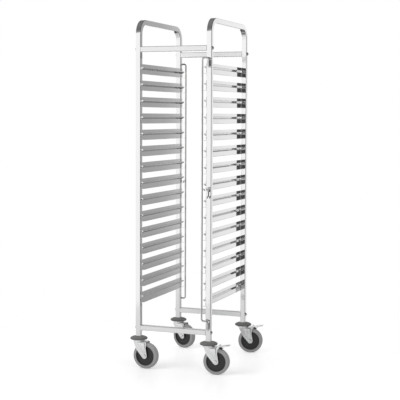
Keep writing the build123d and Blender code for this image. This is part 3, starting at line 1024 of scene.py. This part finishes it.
lining_mesh = lining()
pedal_slope = (PEDAL_TIP - PEDAL_PIVOT).normalized()
for place in ("front_right", "rear_right"):
    seats = []
    for ridge in range(RIDGE_COUNT):
        along_pedal = PEDAL_TIP - pedal_slope * (RIDGE_FIRST + RIDGE_PITCH * ridge)
        on_top = along_pedal + Vector((-pedal_slope.z, 0, pedal_slope.x)) * RIDGE_RADIUS
        seats.append(castor_seat(place) @ facing(on_top * MM, (0, 1, 0)))
    ridges = set_on_places("pedal_ridges_" + place, ridge_mesh, seats, ZINC)
    carried(ridges, "pedal_" + place, "castor_zinc")
    pad = set_on_places("brake_lining_" + place, lining_mesh, [castor_seat(place)], LINING_RUBBER_AND_SHADE)
    carried(pad, "pedal_" + place, "bumper_rubber")

# %% [markdown]
# ## Lips under the rails
# Along its foot each rail's sheet turns inwards once more, which keeps the long thin
# plate straight. In the photograph the ends of these lips show as thin tongues below
# the ledges' ends and reach nearly as far inwards as the ledges do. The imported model's
# lip is shorter, so a deeper one covers it here: one strip, set on all thirty rails.

# %% Lips under the rails
TOP_LEVEL = 1438
LEVEL_PITCH = 78
LEVEL_COUNT = 15
LEVEL_HEIGHTS = [TOP_LEVEL - LEVEL_PITCH * level for level in range(LEVEL_COUNT)]
LIP_START_X = 166.5
LIP_DEPTH = 16.0
LIP_SHEET = 1.3
LIP_DROP = 26.05
LIP_LENGTH = 532.0
LIP_EDGE = 0.3


def lip_strip():
    """The left side's strip, from the rail's plate inwards, with z counted from the level."""
    form = bmesh.new()
    size = Matrix.Diagonal((LIP_DEPTH * MM, LIP_LENGTH * MM, LIP_SHEET * MM, 1))
    middle = Vector((LIP_DEPTH / 2 - LIP_START_X, 0, LIP_SHEET / 2 - LIP_DROP)) * MM
    bmesh.ops.create_cube(form, size=1, matrix=Matrix.Translation(middle) @ size)
    bmesh.ops.bevel(form, geom=form.edges, offset=LIP_EDGE * MM, segments=1, affect="EDGES")
    return finished_mesh("rail lip", form)


lip_places = [
    Matrix.Translation((0, 0, height * MM)) @ Matrix.Rotation(turn, 4, "Z")
    for height in LEVEL_HEIGHTS
    for turn in (0, math.pi)
]
rail_lips = set_on_places("rail_lips", lip_strip(), lip_places, RAIL_STEEL)
carried(rail_lips, "frame", "rail_sheet")

# %% [markdown]
# ## Weld beads
# The rails' ends, the rods' bushes and the catches are welded to the legs. A weld is a
# row of small overlapping ripples along the joint. The second node tree lays them: it
# takes each joint as an edge, divides it evenly, and sets a small ball on each point,
# half sunk in the metal and of a slightly random size.

# %% The tree that lays weld beads
def build_weld_tree():
    tree = bpy.data.node_groups.new("lay weld beads", "GeometryNodeTree")
    tree_input(tree, "Joints", "NodeSocketGeometry")
    tree_input(tree, "Ripple pitch", "NodeSocketFloat", 0.0015)
    tree_input(tree, "Bead radius", "NodeSocketFloat", 0.0012)
    tree_input(tree, "Unevenness", "NodeSocketFloat", 0.15)
    tree_input(tree, "Seed", "NodeSocketInt", 1)
    tree_input(tree, "Finish", "NodeSocketMaterial")
    tree.interface.new_socket(name="Beads", in_out="OUTPUT", socket_type="NodeSocketGeometry")
    entry = add_node(tree, "NodeGroupInput", (-1000, 0))
    leave = add_node(tree, "NodeGroupOutput", (1000, 0))
    lines = add_node(tree, "GeometryNodeMeshToCurve", (-700, 100))
    points = add_node(tree, "GeometryNodeCurveToPoints", (-450, 100), mode="LENGTH")
    ball = add_node(tree, "GeometryNodeMeshIcoSphere", (-450, -200))
    ball.inputs["Subdivisions"].default_value = 2
    low = add_node(tree, "ShaderNodeMath", (-700, -450), operation="SUBTRACT")
    low.inputs[0].default_value = 1.0
    high = add_node(tree, "ShaderNodeMath", (-700, -600), operation="ADD")
    high.inputs[0].default_value = 1.0
    size = add_node(tree, "FunctionNodeRandomValue", (-450, -450), data_type="FLOAT")
    ripples = add_node(tree, "GeometryNodeInstanceOnPoints", (0, 50))
    real = add_node(tree, "GeometryNodeRealizeInstances", (250, 50))
    soft = add_node(tree, "GeometryNodeSetShadeSmooth", (450, 50))
    paint = add_node(tree, "GeometryNodeSetMaterial", (700, 50))
    link = tree.links.new
    link(entry.outputs["Joints"], lines.inputs["Mesh"])
    link(lines.outputs[0], points.inputs["Curve"])
    link(entry.outputs["Ripple pitch"], points.inputs["Length"])
    link(entry.outputs["Bead radius"], ball.inputs["Radius"])
    link(entry.outputs["Unevenness"], low.inputs[1])
    link(entry.outputs["Unevenness"], high.inputs[1])
    link(low.outputs[0], size.inputs[2])
    link(high.outputs[0], size.inputs[3])
    link(entry.outputs["Seed"], size.inputs["Seed"])
    link(points.outputs["Points"], ripples.inputs["Points"])
    link(ball.outputs["Mesh"], ripples.inputs["Instance"])
    link(size.outputs[1], ripples.inputs["Scale"])
    link(ripples.outputs[0], real.inputs[0])
    link(real.outputs[0], soft.inputs["Geometry"])
    link(soft.outputs[0], paint.inputs["Geometry"])
    link(entry.outputs["Finish"], paint.inputs["Material"])
    link(paint.outputs[0], leave.inputs[0])
    return tree


WELD_TREE = build_weld_tree()
print("weld tree:", len(WELD_TREE.nodes), "nodes")

# %% [markdown]
# ## Where the welds are
# Two short stitches at each end of every rail, where its sheet meets the leg, and one
# bead down each side of every bush's web and beside every catch.

# %% Welds on the frame
RAIL_FACE_X = 166.2
RAIL_END_Y = 266.4
STITCHES = ((-19, -9), (11, 19))
BUSH_X = 184
BUSH_WEB_HALF = 2.6
LEG_FRONT_Y = 270.2
BUSH_SPANS = ((1446, 1473), (216, 243))
CATCH_SIDE_X = 178.8
CATCH_SPAN = (863, 883)


def upright_joint(joints, x, y, low, high):
    """Add one vertical joint, given in millimetres, to a list of edges in metres."""
    joints.append(((x * MM, y * MM, low * MM), (x * MM, y * MM, high * MM)))


joints = []
for height in LEVEL_HEIGHTS:
    for side, end in LEG_PLACES.values():
        for low, high in STITCHES:
            upright_joint(joints, side * RAIL_FACE_X, end * RAIL_END_Y, height + low, height + high)
for turn in (1, -1):
    for low, high in BUSH_SPANS:
        for offset in (-BUSH_WEB_HALF, BUSH_WEB_HALF):
            upright_joint(joints, turn * (BUSH_X + offset), -turn * LEG_FRONT_Y, low, high)
    upright_joint(joints, turn * CATCH_SIDE_X, -turn * LEG_FRONT_Y, *CATCH_SPAN)
joint_lines = bpy.data.meshes.new("weld_beads")
ends = [point for joint in joints for point in joint]
joint_lines.from_pydata(ends, [(2 * i, 2 * i + 1) for i in range(len(joints))], [])
welds = new_piece("weld_beads", joint_lines)
run_tree(welds, WELD_TREE, {"Seed": 7, "Finish": WELD_STEEL})
carried(welds, "frame", "frame_tube")
print("welded", len(joints), "joints:", len(welds.data.polygons), "faces")

# %% [markdown]
# ## The view transform
# Colours render as they are written, with the Standard view transform.

scene.view_settings.view_transform = "Standard"
